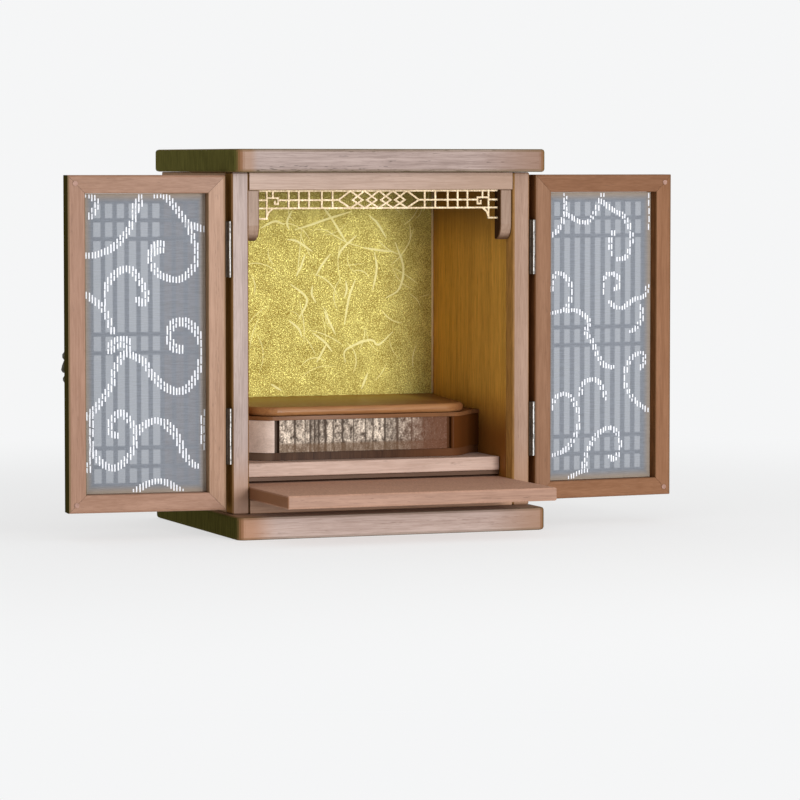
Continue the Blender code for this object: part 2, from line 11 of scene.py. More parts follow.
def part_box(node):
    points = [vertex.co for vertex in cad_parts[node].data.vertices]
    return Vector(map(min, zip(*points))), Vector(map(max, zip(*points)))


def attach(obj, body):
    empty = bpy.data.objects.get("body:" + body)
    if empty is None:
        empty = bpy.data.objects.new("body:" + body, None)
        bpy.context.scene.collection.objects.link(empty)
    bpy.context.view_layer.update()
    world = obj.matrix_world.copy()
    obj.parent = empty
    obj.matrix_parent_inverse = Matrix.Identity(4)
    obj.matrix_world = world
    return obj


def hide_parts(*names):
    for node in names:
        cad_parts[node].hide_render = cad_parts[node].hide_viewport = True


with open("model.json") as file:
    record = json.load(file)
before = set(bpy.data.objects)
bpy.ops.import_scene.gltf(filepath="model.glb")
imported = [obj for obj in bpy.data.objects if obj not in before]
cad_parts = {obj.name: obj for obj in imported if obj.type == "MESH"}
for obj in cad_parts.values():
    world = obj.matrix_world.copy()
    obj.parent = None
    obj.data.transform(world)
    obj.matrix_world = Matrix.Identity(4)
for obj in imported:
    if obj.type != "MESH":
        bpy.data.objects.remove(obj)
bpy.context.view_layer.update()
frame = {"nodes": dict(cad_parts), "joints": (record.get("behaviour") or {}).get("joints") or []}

nodes = frame["nodes"]
mm = 0.001
doors = ("door_left", "door_right")
socketKinds = {"colour": "NodeSocketColor", "value": "NodeSocketFloat", "vector": "NodeSocketVector"}
print("frame loaded:", len(nodes), "solids")


def fill(node, values):
    # Sets a node's inputs. A socket given as a value is linked, and a colour gets its alpha.
    for key, value in values.items():
        socket = node.inputs[key]
        if isinstance(value, bpy.types.NodeSocket):
            node.id_data.links.new(value, socket)
        elif socket.type == "RGBA":
            socket.default_value = (*value[:3], 1.0)
        else:
            socket.default_value = value
    return node


def addNode(tree, kind, values=None, **settings):
    node = tree.nodes.new(kind)
    for key, value in settings.items():
        setattr(node, key, value)
    return fill(node, values or {})


def newGroup(name, inputs, outputs):
    # An input is given by its default value, or by its kind where it is always linked.
    group = bpy.data.node_groups.new(name, "ShaderNodeTree")
    for label, value in inputs.items():
        guess = "colour" if isinstance(value, tuple) else "value"
        kind = value if value in socketKinds else guess
        socket = group.interface.new_socket(name=label, in_out="INPUT", socket_type=socketKinds[kind])
        if value != kind:
            socket.default_value = value
    for label, kind in outputs.items():
        group.interface.new_socket(name=label, in_out="OUTPUT", socket_type=socketKinds[kind])
    return group, addNode(group, "NodeGroupInput").outputs, addNode(group, "NodeGroupOutput")


def arranged(owner):
    # Stands each node one column to the right of what feeds it.
    tree = getattr(owner, "node_tree", owner)
    columns = {node: 0 for node in tree.nodes}
    for turn in range(len(columns)):
        for link in tree.links:
            columns[link.to_node] = max(columns[link.to_node], columns[link.from_node] + 1)
    filled = {}
    for node, column in columns.items():
        filled[column] = filled.get(column, 0) + 1
        node.location = (220 * column, -280 * filled[column])
    return owner


def useGroup(tree, group, values):
    return addNode(tree, "ShaderNodeGroup", values, node_tree=group).outputs


def axesOf(tree, vector):
    return addNode(tree, "ShaderNodeSeparateXYZ", {"Vector": vector}).outputs


def noiseFrom(tree, vector, scale, detail, rough=0.55, distort=0.0):
    values = {"Vector": vector, "Scale": scale, "Detail": detail, "Roughness": rough, "Distortion": distort}
    return addNode(tree, "ShaderNodeTexNoise", values).outputs["Fac"]


def stretchedNoise(tree, vector, stretch, detail, rough=0.55, distort=0.0):
    # The stretch is how many blobs there are to a metre along each axis.
    mapping = addNode(tree, "ShaderNodeMapping", {"Vector": vector, "Scale": stretch})
    return noiseFrom(tree, mapping.outputs["Vector"], 1.0, detail, rough, distort)


def rangeFrom(tree, value, low, high, start=0.0, end=1.0):
    values = {"Value": value, "From Min": low, "From Max": high, "To Min": start, "To Max": end}
    return addNode(tree, "ShaderNodeMapRange", values, interpolation_type="SMOOTHSTEP").outputs["Result"]


def mathFrom(tree, operation, *values):
    return addNode(tree, "ShaderNodeMath", dict(enumerate(values)), operation=operation).outputs["Value"]


def product(tree, first, second, added=None):
    if added is None:
        return mathFrom(tree, "MULTIPLY", first, second)
    return mathFrom(tree, "MULTIPLY_ADD", first, second, added)


def mixColours(tree, factor, first, second, blend="MIX"):
    values = {0: factor, 6: first, 7: second}  # the colour sockets of a Mix node
    return addNode(tree, "ShaderNodeMix", values, data_type="RGBA", blend_type=blend).outputs[2]


def startMaterial(name):
    material = bpy.data.materials.new(name)
    material.use_nodes = True
    tree = material.node_tree
    return material, tree, tree.nodes["Principled BSDF"], addNode(tree, "ShaderNodeTexCoord").outputs


def addBump(tree, shader, height, distance, strength=1.0):
    values = {"Height": height, "Strength": strength, "Distance": distance}
    fill(shader, {"Normal": addNode(tree, "ShaderNodeBump", values).outputs["Normal"]})


def picked(finish, *keys):
    # Values of a finish, under the names that a group's sockets have.
    return {key.capitalize(): finish[key] for key in keys}


def dress(material, *names):
    for name in names:
        nodes[name].data.materials.clear()
        nodes[name].data.materials.append(material)


def addPiece(name, shape, material, body, smooth=False):
    bmesh.ops.recalc_face_normals(shape, faces=shape.faces)
    mesh = bpy.data.meshes.new(name)
    shape.to_mesh(mesh)
    shape.free()
    mesh.materials.append(material)
    piece = bpy.data.objects.new(name, mesh)
    bpy.context.scene.collection.objects.link(piece)
    if smooth:
        mesh.shade_smooth()
    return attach(piece, body)


def addGrid(shape, columns, points):
    # A sheet of quads over points that are given row by row.
    verts = [shape.verts.new(point) for point in points]
    across = columns + 1
    for corner in range(len(verts) - across):
        if (corner + 1) % across:
            shape.faces.new([verts[corner + step] for step in (0, 1, across + 1, across)])
    return verts


def smoothPath(points, step):
    # Samples about one step apart on a smooth curve that passes through every point.
    ends = [2 * points[0] - points[1]] + list(points) + [2 * points[-1] - points[-2]]
    samples = []
    for index in range(1, len(ends) - 2):
        a, b, c, d = ends[index - 1:index + 3]
        count = max(2, int((c - b).length / step))
        for part in range(count):
            t = part / count
            even = 2 * b + (c - a) * t
            bent = (2 * a - 5 * b + 4 * c - d) * t * t + (3 * b - a - 3 * c + d) * t ** 3
            samples.append((even + bent) / 2)
    samples.append(Vector(points[-1]))
    return samples


# Straight-grained hardwood. The vector's X runs along the grain, in metres.
def makeWoodGrain():
    inputs = {
        "Vector": "vector",
        "Light": (0.5, 0.35, 0.28, 1),
        "Dark": (0.35, 0.22, 0.16, 1),
        "Pore": (0.15, 0.09, 0.06, 1),
        "Gloss": 0.4,
        "Pores": 0.5,
    }
    outputs = {"Color": "colour", "Roughness": "value", "Height": "value"}
    group, start, end = newGroup("woodGrain", inputs, outputs)
    bands = stretchedNoise(group, start["Vector"], (7.0, 150.0, 150.0), 4.0, 0.6, 0.6)
    fibres = stretchedNoise(group, start["Vector"], (34.0, 760.0, 760.0), 3.0, 0.7)
    drift = stretchedNoise(group, start["Vector"], (3.0, 28.0, 28.0), 2.0)
    specks = stretchedNoise(group, start["Vector"], (110.0, 1000.0, 1000.0), 1.0, 0.5)
    rows = stretchedNoise(group, start["Vector"], (5.0, 330.0, 330.0), 1.0, 0.5, 0.4)
    fibreMask = rangeFrom(group, fibres, 0.36, 0.64)
    # The shares of the fibres, the bands and the slow drift add up to 1.
    tone = product(group, fibreMask, 0.42, product(group, rangeFrom(group, bands, 0.34, 0.66), 0.36))
    tone = product(group, rangeFrom(group, drift, 0.30, 0.70), 0.22, tone)
    base = mixColours(group, tone, start["Light"], start["Dark"])
    speckMask = rangeFrom(group, specks, 0.60, 0.70)
    pores = product(group, speckMask, rangeFrom(group, rows, 0.52, 0.66, 0.12, 1.0))
    pores = product(group, pores, start["Pores"])
    fill(end, {
        "Color": mixColours(group, pores, base, start["Pore"]),
        "Roughness": product(group, pores, 0.25, product(group, fibreMask, 0.06, start["Gloss"])),
        "Height": product(group, pores, -1.0, product(group, fibreMask, 0.3)),
    })
    return arranged(group)


# Painted shade: rounded corners take a warm painted tone where the light turns off them, and faces
# turned sideways or up, and rounded top rims, take a dark painted shade; the slide board takes a
# lighter painted light instead. Faces turned towards the middle of the cabinet can take a painted tone
# of their own.
def makePaintedSideShade():
    inputs = {
        "Color": "colour",
        "Corner": (0.25, 0.12, 0.05, 1),
        "Paintedlight": (0.07, 0.06, 0.03, 1),
        "Inner": (0.07, 0.06, 0.03, 1),
        "Sides": 1.0,
        "Tops": 0.5,
        "Rims": 0.0,
    }
    group, start, end = newGroup("paintedSideShade", inputs, {"Color": "colour", "Unshaded": "value"})
    place = addNode(group, "ShaderNodeTexCoord").outputs
    facing = axesOf(group, place["Normal"])
    sideways = mathFrom(group, "ABSOLUTE", facing["X"])
    upright = mathFrom(group, "ABSOLUTE", facing["Z"])
    corner = product(group, rangeFrom(group, sideways, 0.10, 0.55), start["Sides"])
    dark = product(group, rangeFrom(group, sideways, 0.50, 0.92), start["Sides"])
    topped = rangeFrom(group, upright, 0.15, 0.80)
    top = product(group, topped, start["Tops"])
    rounded = product(group, topped, rangeFrom(group, upright, 0.97, 0.90))
    level = mathFrom(group, "MAXIMUM", top, product(group, rounded, start["Rims"]))
    darkest = mathFrom(group, "MAXIMUM", dark, level)
    warmed = mixColours(group, corner, start["Color"], start["Corner"])
    streaks = stretchedNoise(group, place["Object"], (420.0, 420.0, 40.0), 3.0, 0.65)
    outward = product(group, axesOf(group, place["Object"])["X"], facing["X"])
    inward = mathFrom(group, "LESS_THAN", outward, 0.0)
    paintedlight = mixColours(group, inward, start["Paintedlight"], start["Inner"])
    streaky = mixColours(group, 1.0, paintedlight, rangeFrom(group, streaks, 0.35, 0.65, 0.80, 1.18), "MULTIPLY")
    fill(end, {
        "Color": mixColours(group, darkest, warmed, streaky),
        "Unshaded": mathFrom(group, "SUBTRACT", 1.0, darkest),
    })
    return arranged(group)


# A second tone that comes in along one direction. Most zones here are painted light and shade over
# a stretch, one of them a painted reflection.
def makeZoneTint():
    inputs = {
        "Color": "colour",
        "Tint": (0.4, 0.3, 0.2, 1),
        "Place": 0.0,
        "Start": 0.0,
        "Full": 0.1,
        "Amount": 1.0,
    }
    group, start, end = newGroup("zoneTint", inputs, {"Color": "colour"})
    fade = rangeFrom(group, start["Place"], start["Start"], start["Full"])
    used = product(group, fade, start["Amount"])
    fill(end, {"Color": mixColours(group, used, start["Color"], start["Tint"])})
    return arranged(group)


# Slow changes of tone from handling and dusting, a little darker and a little duller.
def makeHandling():
    inputs = {"Color": "colour", "Roughness": 0.4, "Vector": "vector", "Amount": 0.5}
    group, start, end = newGroup("handling", inputs, {"Color": "colour", "Roughness": "value"})
    broad = rangeFrom(group, noiseFrom(group, start["Vector"], 26.0, 3.0, 0.55, 0.3), 0.35, 0.68)
    specks = rangeFrom(group, noiseFrom(group, start["Vector"], 420.0, 2.0, 0.6), 0.62, 0.74)
    used = product(group, product(group, specks, 0.35, broad), start["Amount"])
    darker = mixColours(group, 1.0, start["Color"], (0.62, 0.58, 0.55), "MULTIPLY")
    fill(end, {
        "Color": mixColours(group, product(group, used, 0.22), start["Color"], darker),
        "Roughness": product(group, used, 0.08, start["Roughness"]),
    })
    return arranged(group)


# Beaten metal or metal leaf: mottled between two tones, with a fine crumpled height.
def makeMottledMetal():
    inputs = {
        "Vector": "vector",
        "Bright": (0.8, 0.7, 0.3, 1),
        "Dull": (0.4, 0.3, 0.1, 1),
        "Grain": 700.0,
        "Patches": 0.35,
        "Gloss": 0.4,
    }
    outputs = {"Color": "colour", "Roughness": "value", "Height": "value"}
    group, start, end = newGroup("mottledMetal", inputs, outputs)
    fine = rangeFrom(group, noiseFrom(group, start["Vector"], start["Grain"], 3.0, 0.65), 0.37, 0.63)
    broad = rangeFrom(group, noiseFrom(group, start["Vector"], 45.0, 4.0, 0.6, 0.5), 0.34, 0.70)
    fineShare = mathFrom(group, "SUBTRACT", 1.0, start["Patches"])
    tone = product(group, fine, fineShare, product(group, broad, start["Patches"]))
    fill(end, {
        "Color": mixColours(group, tone, start["Bright"], start["Dull"]),
        "Roughness": product(group, tone, 0.18, start["Gloss"]),
        "Height": fine,
    })
    return arranged(group)


# A painted highlight: bright metal colour on the slim face of a barrel that leans a little to one side
# of the front, towards the lamp, broken up in patches.
def makeFrontGlint():
    inputs = {"Color": "colour", "Glint": (0.9, 0.88, 0.85, 1), "Amount": 1.0}
    group, start, end = newGroup("frontGlint", inputs, {"Color": "colour"})
    place = addNode(group, "ShaderNodeTexCoord").outputs
    facing = axesOf(group, place["Normal"])
    forward = rangeFrom(group, facing["Y"], -0.85, -0.92)
    leaning = rangeFrom(group, facing["X"], 0.06, 0.15)
    upright = rangeFrom(group, facing["X"], 0.40, 0.50, 1.0, 0.0)
    window = product(group, product(group, leaning, upright), forward)
    brokenGlint = rangeFrom(group, noiseFrom(group, place["Object"], 330.0, 2.0), 0.36, 0.50, 0.35, 1.0)
    mask = product(group, product(group, window, brokenGlint), start["Amount"])
    fill(end, {"Color": mixColours(group, mask, start["Color"], start["Glint"])})
    return arranged(group)


# How near a place on a sheet is to the sheet's edge, from its 0 to 1 map.
def makeSheetEdge():
    inputs = {"Map": "vector", "Side Band": 0.05, "End Band": 0.02}
    group, start, end = newGroup("sheetEdge", inputs, {"Mask": "value"})
    split = axesOf(group, start["Map"])
    masks = []
    for axis, band in (("X", "Side Band"), ("Y", "End Band")):
        reach = mathFrom(group, "ABSOLUTE", mathFrom(group, "SUBTRACT", split[axis], 0.5))
        share = mathFrom(group, "DIVIDE", mathFrom(group, "SUBTRACT", 0.5, reach), start[band])
        masks.append(rangeFrom(group, share, 0.0, 1.0, 1.0, 0.0))
    fill(end, {"Mask": mathFrom(group, "MAXIMUM", *masks)})
    return arranged(group)


# Plain weave: threads over and under at an even pitch. The vector's X and Y lie in the cloth.
def makePlainWeave():
    inputs = {"Vector": "vector", "Pitch": 0.0009, "Thread": "colour", "Gap": "colour"}
    outputs = {"Color": "colour", "Cover": "value", "Height": "value"}
    group, start, end = newGroup("plainWeave", inputs, outputs)
    split = axesOf(group, start["Vector"])
    turns = []
    for axis in ("X", "Y"):
        ratio = mathFrom(group, "DIVIDE", split[axis], start["Pitch"])
        turns.append(mathFrom(group, "SINE", product(group, ratio, 2 * math.pi)))
    threads = product(group, product(group, *turns), 0.5, 0.5)
    slub = stretchedNoise(group, start["Vector"], (90.0, 900.0, 90.0), 2.0)
    cover = mathFrom(group, "ADD", threads, rangeFrom(group, slub, 0.35, 0.65, -0.16, 0.16))
    shown = mixColours(group, cover, start["Gap"], start["Thread"])
    fill(end, {"Color": shown, "Cover": cover, "Height": threads})
    return arranged(group)


woodGrain = makeWoodGrain()
paintedSideShade = makePaintedSideShade()
zoneTint = makeZoneTint()
handling = makeHandling()
mottledMetal = makeMottledMetal()
frontGlint = makeFrontGlint()
sheetEdge = makeSheetEdge()
plainWeave = makePlainWeave()
print("shared effects made")

grainTurns = {
    "X": (0.0, 0.0, 0.0),
    "Y": (0.0, 0.0, math.radians(-90)),
    "Z": (0.0, math.radians(90), 0.0),
}
grainShift = (0.37, 0.113, 0.071)  # metres from one seed to the next
woodRelief = 0.00012


def addZones(tree, place, shown, zones):
    # Each zone is an axis, where its tone starts and is full in metres, the tone and its share.
    for axis, start, full, tint, amount in zones:
        along = axesOf(tree, place["Object"])[axis]
        values = {"Color": shown, "Place": along, "Tint": tint, "Start": start, "Full": full}
        shown = useGroup(tree, zoneTint, dict(values, Amount=amount))["Color"]
    return shown


def woodFinish(name, finish, grain, seed):
    # The lacquer lies only on faces without a painted tone, and a finish with none has it all over.
    material, tree, shader, place = startMaterial(name)
    shift = tuple(seed * part for part in grainShift)
    turned = {"Vector": place["Object"], "Rotation": grainTurns[grain], "Location": shift}
    vector = addNode(tree, "ShaderNodeMapping", turned).outputs["Vector"]
    values = picked(finish, "light", "dark", "pore", "gloss", "pores")
    wood = useGroup(tree, woodGrain, dict(values, Vector=vector))
    shown = addZones(tree, place, wood["Color"], finish["zones"])
    shader.inputs["Coat Weight"].default_value = finish["lacquer"]
    if finish["sides"] or finish["tops"] or finish["rims"]:
        values = picked(finish, "corner", "paintedlight", "sides", "tops", "rims")
        values["Inner"] = finish.get("inner", finish["paintedlight"])
        paintedShading = useGroup(tree, paintedSideShade, dict(values, Color=shown))
        shown = paintedShading["Color"]
        fill(shader, {"Coat Weight": product(tree, paintedShading["Unshaded"], finish["lacquer"])})
    used = useGroup(tree, handling, {
        "Color": shown,
        "Roughness": wood["Roughness"],
        "Vector": vector,
        "Amount": finish["handled"],
    })
    fill(shader, {
        "Base Color": used["Color"],
        "Roughness": used["Roughness"],
        "Coat Roughness": finish["sheen"],
        "Specular IOR Level": finish["shine"],
    })
    addBump(tree, shader, wood["Height"], woodRelief, 0.6)
    return arranged(material)


def dressWood(finish, grain, seed, *names):
    # The grain runs along an axis, and each further piece is cut from further along the plank.
    for step, name in enumerate(names):
        dress(woodFinish(name, finish, grain, seed + step), name)


def metalFinish(name, finish):
    material, tree, shader, place = startMaterial(name)
    values = picked(finish, "bright", "dull", "grain", "patches", "gloss")
    metal = useGroup(tree, mottledMetal, dict(values, Vector=place["Object"]))
    shown = addZones(tree, place, metal["Color"], finish.get("zones", ()))
    if "glint" in finish:
        shown = useGroup(tree, frontGlint, {"Color": shown, "Glint": finish["glint"]})["Color"]
    used = useGroup(tree, handling, {
        "Color": shown,
        "Roughness": metal["Roughness"],
        "Vector": place["Object"],
        "Amount": finish["handled"],
    })
    fill(shader, {
        "Base Color": used["Color"],
        "Roughness": used["Roughness"],
        "Metallic": finish["metallic"],
        "Specular IOR Level": finish["shine"],
    })
    addBump(tree, shader, metal["Height"], finish["relief"])
    return arranged(material)


# Tones are of the grain's light and dark lines. The painted tone is what faces turned aside or up take:
# mostly painted shade, and on the slide board's level faces painted light.
carcassWood = {
    "pore": (0.11, 0.065, 0.045),
    "corner": (0.21, 0.10, 0.045),
    "sides": 1.0,
    "tops": 0.2,
    "rims": 0.85,
    "gloss": 0.45,
    "pores": 0.9,
    "handled": 0.5,
    "lacquer": 0.22,
    "sheen": 0.32,
    "shine": 0.0,
    "zones": (),
}
# The boards' sides, tops and rounded rims take painted shade, dark olive on the sides, and both ends of
# their fronts a warmer painted shade. The base board's wood is lighter than the top board's as painted
# light, to make up for the shade it stands in.
topBoardWood = dict(
    carcassWood,
    light=(0.375, 0.285, 0.255),
    dark=(0.19, 0.13, 0.11),
    pore=(0.07, 0.045, 0.035),
    paintedlight=(0.092, 0.083, 0.022),
    zones=(("X", 0.09, 0.175, (0.22, 0.12, 0.075), 0.75), ("X", -0.154, -0.165, (0.26, 0.14, 0.08), 0.8)),
)
baseBoardWood = dict(
    carcassWood,
    light=(0.50, 0.395, 0.355),
    dark=(0.32, 0.235, 0.20),
    paintedlight=(0.056, 0.049, 0.012),
    pores=0.4,
    zones=(("X", 0.10, 0.172, (0.27, 0.15, 0.09), 0.8), ("X", -0.130, -0.166, (0.34, 0.17, 0.09), 0.85)),
)
dressWood(topBoardWood, "X", 1.0, "top_board")
dressWood(baseBoardWood, "X", 2.0, "base_board")

bareWood = dict(
    carcassWood,
    corner=(0.19, 0.10, 0.05),
    paintedlight=(0.060, 0.030, 0.014),
    tops=0.0,
    rims=0.0,
    pores=0.35,
)
lintelWood = dict(
    bareWood,
    light=(0.47, 0.335, 0.27),
    dark=(0.31, 0.205, 0.15),
    zones=(("X", 0.02, 0.15, (0.33, 0.21, 0.145), 0.6),),
)
bottomRailWood = dict(bareWood, light=(0.47, 0.29, 0.19), dark=(0.33, 0.18, 0.11))
shelfWood = dict(bareWood, light=(0.61, 0.45, 0.375), dark=(0.42, 0.285, 0.225))
# The apron is very dark: painted shade under the shelf.
apronWood = dict(bareWood, light=(0.14, 0.075, 0.045), dark=(0.09, 0.045, 0.025))
dressWood(lintelWood, "X", 4.0, "lintel")
dressWood(bottomRailWood, "X", 5.0, "bottom_rail")
dressWood(shelfWood, "X", 6.0, "shelf")
dressWood(apronWood, "X", 7.0, "shelf_apron")

# The two posts are lit and shaded copies of one wood, the right one darker. Each takes painted shade along
# its inner edge and towards its foot, and a painted tone on its sides; on the right post the face turned to
# the middle takes a lighter painted tone.
leftPostWood = dict(
    bareWood,
    light=(0.43, 0.33, 0.295),
    dark=(0.25, 0.185, 0.157),
    paintedlight=(0.20, 0.10, 0.026),
    zones=(("X", -0.163, -0.157, (0.30, 0.22, 0.20), 0.5), ("Z", 0.11, 0.035, (0.36, 0.20, 0.12), 0.75)),
)
rightPostWood = dict(
    bareWood,
    light=(0.385, 0.255, 0.19),
    dark=(0.255, 0.155, 0.105),
    paintedlight=(0.32, 0.16, 0.070),
    inner=(0.445, 0.24, 0.070),
    zones=(("X", 0.164, 0.157, (0.27, 0.165, 0.115), 0.5), ("Z", 0.11, 0.035, (0.33, 0.18, 0.10), 0.6)),
)
dressWood(leftPostWood, "Z", 8.0, "post_left")
dressWood(rightPostWood, "Z", 9.0, "post_right")

sideWood = dict(bareWood, light=(0.30, 0.165, 0.07), dark=(0.20, 0.10, 0.04), sides=0.0)
backWood = dict(bareWood, light=(0.30, 0.20, 0.14), dark=(0.20, 0.13, 0.09), sides=0.0)
bracketWood = dict(
    bareWood,
    light=(0.34, 0.235, 0.175),
    dark=(0.23, 0.145, 0.10),
    # The brackets' lowest few millimetres darken: painted shade under them.
    zones=(("Z", 0.329, 0.321, (0.085, 0.042, 0.02), 0.8),),
)
dressWood(sideWood, "Z", 11.0, "side_panel_left", "side_panel_right")
dressWood(bracketWood, "Z", 14.0, "bracket_left", "bracket_right")
dressWood(backWood, "Z", 17.0, "back_board")

liningWood = dict(
    backWood,
    light=(0.92, 0.50, 0.092),
    dark=(0.48, 0.25, 0.042),
    pore=(0.24, 0.11, 0.015),
    gloss=0.35,
    pores=0.5,
    lacquer=0.25,
    # The linings darken towards their foot and towards their top, under the lintel: painted shade.
    zones=(("Z", 0.160, 0.095, (0.25, 0.090, 0.018), 0.93), ("Z", 0.30, 0.37, (0.17, 0.088, 0.024), 0.85)),
)
# The slide board's level faces take a lighter painted tone as painted light, and the strip at its left end a
# dark painted shade.
slideWood = dict(
    bareWood,
    light=(0.39, 0.235, 0.17),
    dark=(0.26, 0.15, 0.105),
    corner=(0.24, 0.10, 0.05),
    paintedlight=(0.60, 0.35, 0.245),
    sides=0.0,
    tops=0.6,
    lacquer=0.2,
    zones=(("X", -0.1518, -0.1537, (0.19, 0.078, 0.032), 0.9),),
)
dressWood(liningWood, "Z", 20.0, "side_lining_left", "side_lining_right")
dressWood(backWood, "Y", 22.0, "slide_runner_left", "slide_runner_right")
dressWood(slideWood, "X", 24.0, "slide_board")

# The dais body is pale up to the slot beside the leaf and dark from there on: painted light on its left end,
# painted shade in the slot and beyond it, turning red-brown over its right part.
daisWood = dict(
    bareWood,
    light=(0.72, 0.58, 0.50),
    dark=(0.52, 0.40, 0.335),
    sides=0.0,
    lacquer=0.1,
    zones=(
        ("X", -0.1038, -0.1024, (0.045, 0.024, 0.011), 0.95),
        ("X", 0.070, 0.098, (0.090, 0.028, 0.006), 0.97),
    ),
)
# The plinth is nearly black as painted shade in its recess under the body, with lighter tones at its left
# end and towards its right.
plinthWood = dict(
    daisWood,
    light=(0.085, 0.040, 0.020),
    dark=(0.030, 0.012, 0.006),
    gloss=0.35,
    zones=(("X", -0.103, -0.112, (0.16, 0.105, 0.075), 0.7), ("X", 0.02, 0.11, (0.13, 0.050, 0.020), 0.85)),
)
# The back of the dais top takes an olive-gold tone, a painted reflection of the gold paper behind it, and
# its right end a painted shade.
daisTopWood = dict(
    daisWood,
    light=(0.38, 0.18, 0.068),
    dark=(0.24, 0.105, 0.040),
    pore=(0.08, 0.03, 0.02),
    gloss=0.32,
    pores=0.4,
    lacquer=0.35,
    sheen=0.22,
    zones=(("Y", -0.03, 0.09, (0.46, 0.29, 0.060), 0.9), ("X", 0.095, 0.130, (0.15, 0.055, 0.02), 0.8)),
)
mouldingWood = dict(daisTopWood, light=(0.23, 0.10, 0.04), dark=(0.13, 0.055, 0.022), lacquer=0.2, zones=())
sweep = {
    "weld": 0.00001,
    "flat": math.radians(0.5),
    "sharp": math.radians(35),
    "slots": {"dais_body": "walnut", "dais_plinth": "walnut", "dais_moulding": "dais_walnut"},
}
dressWood(plinthWood, "Z", 26.0, "dais_plinth")
dressWood(daisWood, "X", 27.0, "dais_body")
dressWood(daisTopWood, "X", 28.0, "dais_top")
dressWood(mouldingWood, "X", 29.0, "dais_moulding")


def smoothSweep(name):
    # The same shape with its swept front shaded as one curve.
    shape = bmesh.new()
    shape.from_mesh(nodes[name].data)
    bmesh.ops.remove_doubles(shape, verts=shape.verts, dist=sweep["weld"])
    bmesh.ops.dissolve_limit(shape, angle_limit=sweep["flat"], verts=shape.verts, edges=shape.edges)
    swept = addPiece(f"{name}_swept", shape, nodes[name].data.materials[0], "cabinet", smooth=True)
    swept.data.set_sharp_from_angle(angle=sweep["sharp"])
    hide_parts(name)


for name, slot in sweep["slots"].items():
    smoothSweep(name)
print("carcass and dais dressed")

goldPaper = {
    "bright": (1.0, 0.93, 0.29),
    "dull": (0.32, 0.21, 0.010),
    "grain": 1050.0,
    "patches": 0.2,
    "gloss": 0.45,
    "shine": 0.5,
    "metallic": 0.5,
    "relief": 0.0002,
    "handled": 0.5,
    # The paper's top band darkens: painted shadow under the lintel.
    "zones": (("Z", 0.335, 0.374, (0.13, 0.085, 0.01), 0.4),),
}
fibreGold = dict(
    goldPaper,
    bright=(1.0, 0.97, 0.46),
    dull=(0.98, 0.88, 0.34),
    gloss=0.5,
    metallic=0.0,
    relief=0.0001,
)
fibres = {
    "width": 0.0025,
    "lift": 0.0003,
    "gap": 0.00002,
    "step": 0.003,
    "scattered": 70,
    "shortest": 0.018,
    "longest": 0.060,
    "curl": 0.9,
    "weights": (0.25, 0.5),
    "inset": 0.01,
    "margin": 0.002,
    "seed": 11,
    # Main strands, in millimetres across from the middle and up from the floor.
    "strands": (
        ((-20, 350), (-26, 337), (-23, 328)),
        ((-58, 330), (-41, 338), (-29, 334)),
        ((-17, 328), (4, 334), (22, 340), (53, 349)),
        ((15, 358), (29, 340), (48, 311)),
        ((36, 294), (41, 305), (59, 321)),
        ((-26, 317), (-14, 315), (5, 303)),
        ((-4, 300), (-9, 286), (-15, 275)),
        ((27, 300), (17, 288), (9, 275)),
        ((5, 264), (4, 254), (9, 244)),
        ((19, 234), (27, 219), (33, 207)),
        ((46, 269), (47, 258), (44, 249)),
        ((74, 345), (85, 335), (96, 318)),
        ((107, 313), (117, 284), (112, 259), (95, 248)),
        ((67, 307), (86, 304), (105, 302)),
        ((81, 302), (84, 283), (79, 257)),
        ((58, 271), (50, 250), (44, 218)),
        ((-24, 224), (-12, 214), (-8, 204)),
        ((-22, 266), (-2, 248), (-12, 225)),
        ((5, 209), (19, 199), (29, 187)),
        ((22, 196), (10, 175)),
        ((45, 174), (46, 189), (76, 200), (86, 194), (104, 209)),
        ((73, 162), (65, 143)),
        ((-46, 151), (-33, 143)),
    ),
}


def addRibbon(shape, line, width, bottom, top):
    # A low ridge along a line in the plane of the paper, pointed at both ends.
    rings = []
    count = len(line)
    for index, point in enumerate(line):
        along = (line[min(index + 1, count - 1)] - line[max(index - 1, 0)]).normalized()
        across = Vector((-along.y, along.x)) * width / 2
        taper = min(1.0, 0.35 + 1.3 * min(index, count - 1 - index) / count * 2)
        places = ((across * taper, bottom), (across * 0, top), (across * -taper, bottom))
        rings.append([shape.verts.new((point.x + a.x, y, point.y + a.y)) for a, y in places])
    for first, second in zip(rings, rings[1:]):
        for index in (0, 1):
            shape.faces.new((first[index], first[index + 1], second[index + 1], second[index]))


def scatteredFibre(chance, left, right, bottom, top):
    # Three straight steps that turn a little to one side.
    inset = fibres["inset"]
    across = chance.uniform(left + inset, right - inset)
    points = [Vector((across, chance.uniform(bottom + inset, top - 2 * inset)))]
    length = chance.uniform(fibres["shortest"], fibres["longest"])
    heading = chance.uniform(0, math.pi)
    turn = chance.uniform(-fibres["curl"], fibres["curl"])
    for part in range(3):
        points.append(points[-1] + Vector((math.cos(heading), math.sin(heading))) * length / 3)
        heading += turn * 0.6
    return points


